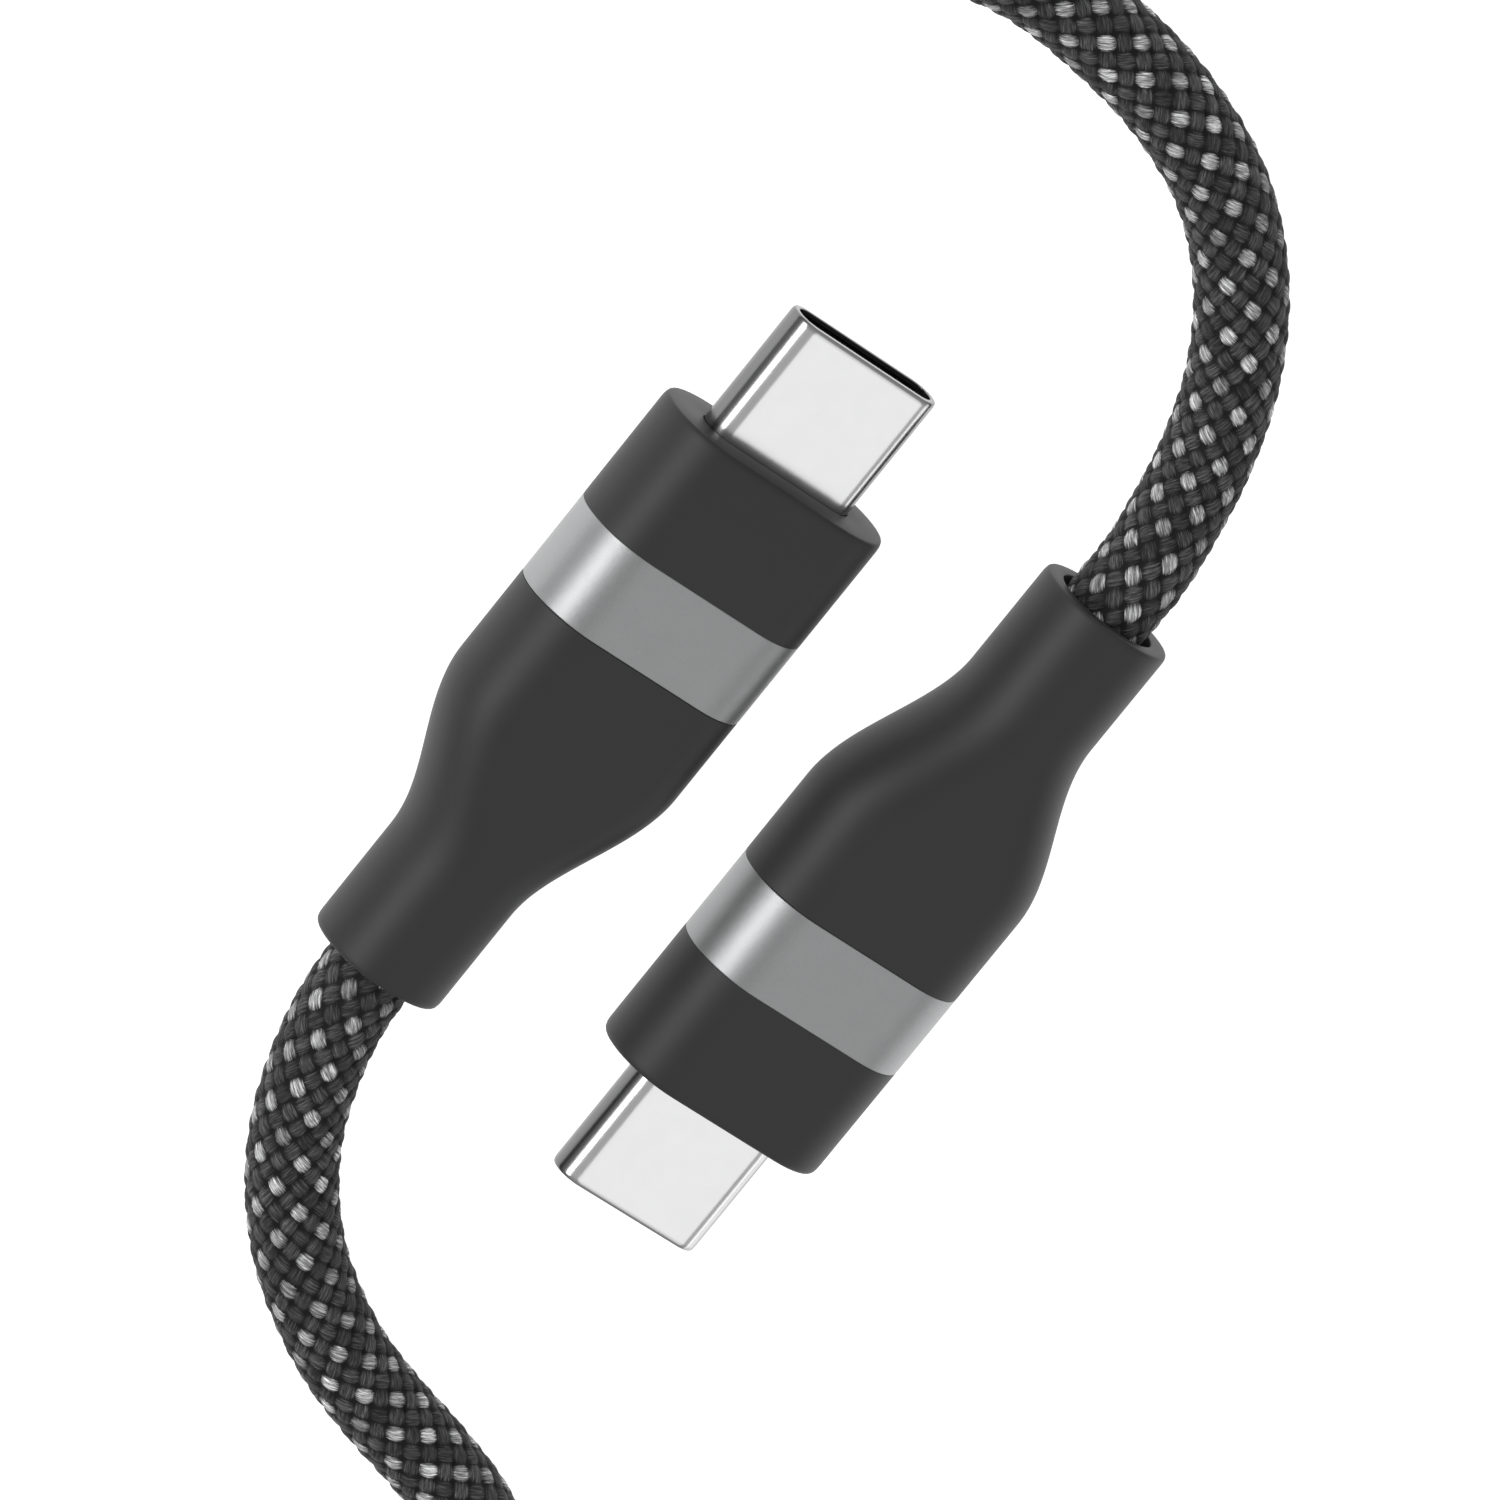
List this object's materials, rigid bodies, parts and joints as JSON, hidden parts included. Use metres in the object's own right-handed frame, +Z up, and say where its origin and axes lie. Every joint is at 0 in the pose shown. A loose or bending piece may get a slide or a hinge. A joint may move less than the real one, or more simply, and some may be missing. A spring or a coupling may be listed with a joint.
{
  "type": "charging cable",
  "caption": "Braided USB-C to USB-C charging cable: two slim soft-touch plugs with grey metal bands, joined by one short braided cord laid in a loop.",
  "frame": {"origin": "on the resting surface, midway between the two plugs that lie side by side, nose to tail", "axes": "+Y along plug A towards its tip, +X from plug A to plug B, +Z up from the surface"},
  "size_m": [0.08, 0.1042, 0.0064],
  "materials": {
    "soft_black": "soft-touch matte",
    "band_metal": "bead blasted, anodised grey",
    "plug_steel": "polished",
    "insulator_plastic": "moulded",
    "contact_gold": "gold plated",
    "spring_steel": "bright",
    "card_green": "solder mask",
    "part_ceramic": "ceramic",
    "chip_black": "moulded epoxy",
    "can_steel": "tinned",
    "ferrule_steel": "tinned",
    "mould_cream": "moulded",
    "wire_red": "extruded",
    "wire_black": "extruded",
    "wire_data": "extruded",
    "wire_blue": "extruded",
    "braid": "braided yarn"
  },
  "bodies": {
    "root": {"front_cover_a": "soft_black", "trim_band_a": "band_metal", "rear_body_a": "soft_black", "plug_shell_a": "plug_steel", "insulator_a": "insulator_plastic", "contacts_upper_a": "contact_gold", "contacts_lower_a": "contact_gold", "ground_spring_upper_a": "spring_steel", "ground_spring_lower_a": "spring_steel", "latch_bridge_a": "spring_steel", "circuit_card_a": "card_green", "card_parts_a": "part_ceramic", "emarker_chip_a": "chip_black", "shield_can_upper_a": "can_steel", "shield_can_lower_a": "can_steel", "crimp_ferrule_a": "ferrule_steel", "inner_mould_a": "mould_cream", "power_wire_a": "wire_red", "ground_wire_a": "wire_black", "data_wires_a": "wire_data", "config_wire_a": "wire_blue", "cord_end_a": "braid", "front_cover_b": "soft_black", "trim_band_b": "band_metal", "rear_body_b": "soft_black", "plug_shell_b": "plug_steel", "insulator_b": "insulator_plastic", "contacts_upper_b": "contact_gold", "contacts_lower_b": "contact_gold", "ground_spring_upper_b": "spring_steel", "ground_spring_lower_b": "spring_steel", "latch_bridge_b": "spring_steel", "circuit_card_b": "card_green", "card_parts_b": "part_ceramic", "shield_can_upper_b": "can_steel", "shield_can_lower_b": "can_steel", "crimp_ferrule_b": "ferrule_steel", "inner_mould_b": "mould_cream", "power_wire_b": "wire_red", "ground_wire_b": "wire_black", "data_wires_b": "wire_data", "config_wire_b": "wire_blue", "cord_end_b": "braid", "cord": "braid"},
    "latch_arm_left_a": {"latch_arm_left_a": "spring_steel"},
    "latch_arm_right_a": {"latch_arm_right_a": "spring_steel"},
    "latch_arm_left_b": {"latch_arm_left_b": "spring_steel"},
    "latch_arm_right_b": {"latch_arm_right_b": "spring_steel"}
  },
  "joints": [
    {"name": "latch_left_a_flex", "type": "hinge", "parent": "root", "child": "latch_arm_left_a", "pos_m": [-0.01222, 0.0137, 0.0032], "axis": [0, 0, 1], "range_deg": [0, 2], "stiffness_Nm_per_rad": 0.036},
    {"name": "latch_right_a_flex", "type": "hinge", "parent": "root", "child": "latch_arm_right_a", "pos_m": [-0.00518, 0.0137, 0.0032], "axis": [0, 0, -1], "range_deg": [0, 2], "stiffness_Nm_per_rad": 0.036},
    {"name": "latch_left_b_flex", "type": "hinge", "parent": "root", "child": "latch_arm_left_b", "pos_m": [0.01222, -0.0137, 0.0032], "axis": [0, 0, 1], "range_deg": [0, 2], "stiffness_Nm_per_rad": 0.036},
    {"name": "latch_right_b_flex", "type": "hinge", "parent": "root", "child": "latch_arm_right_b", "pos_m": [0.00518, -0.0137, 0.0032], "axis": [0, 0, -1], "range_deg": [0, 2], "stiffness_Nm_per_rad": 0.036}
  ]
}
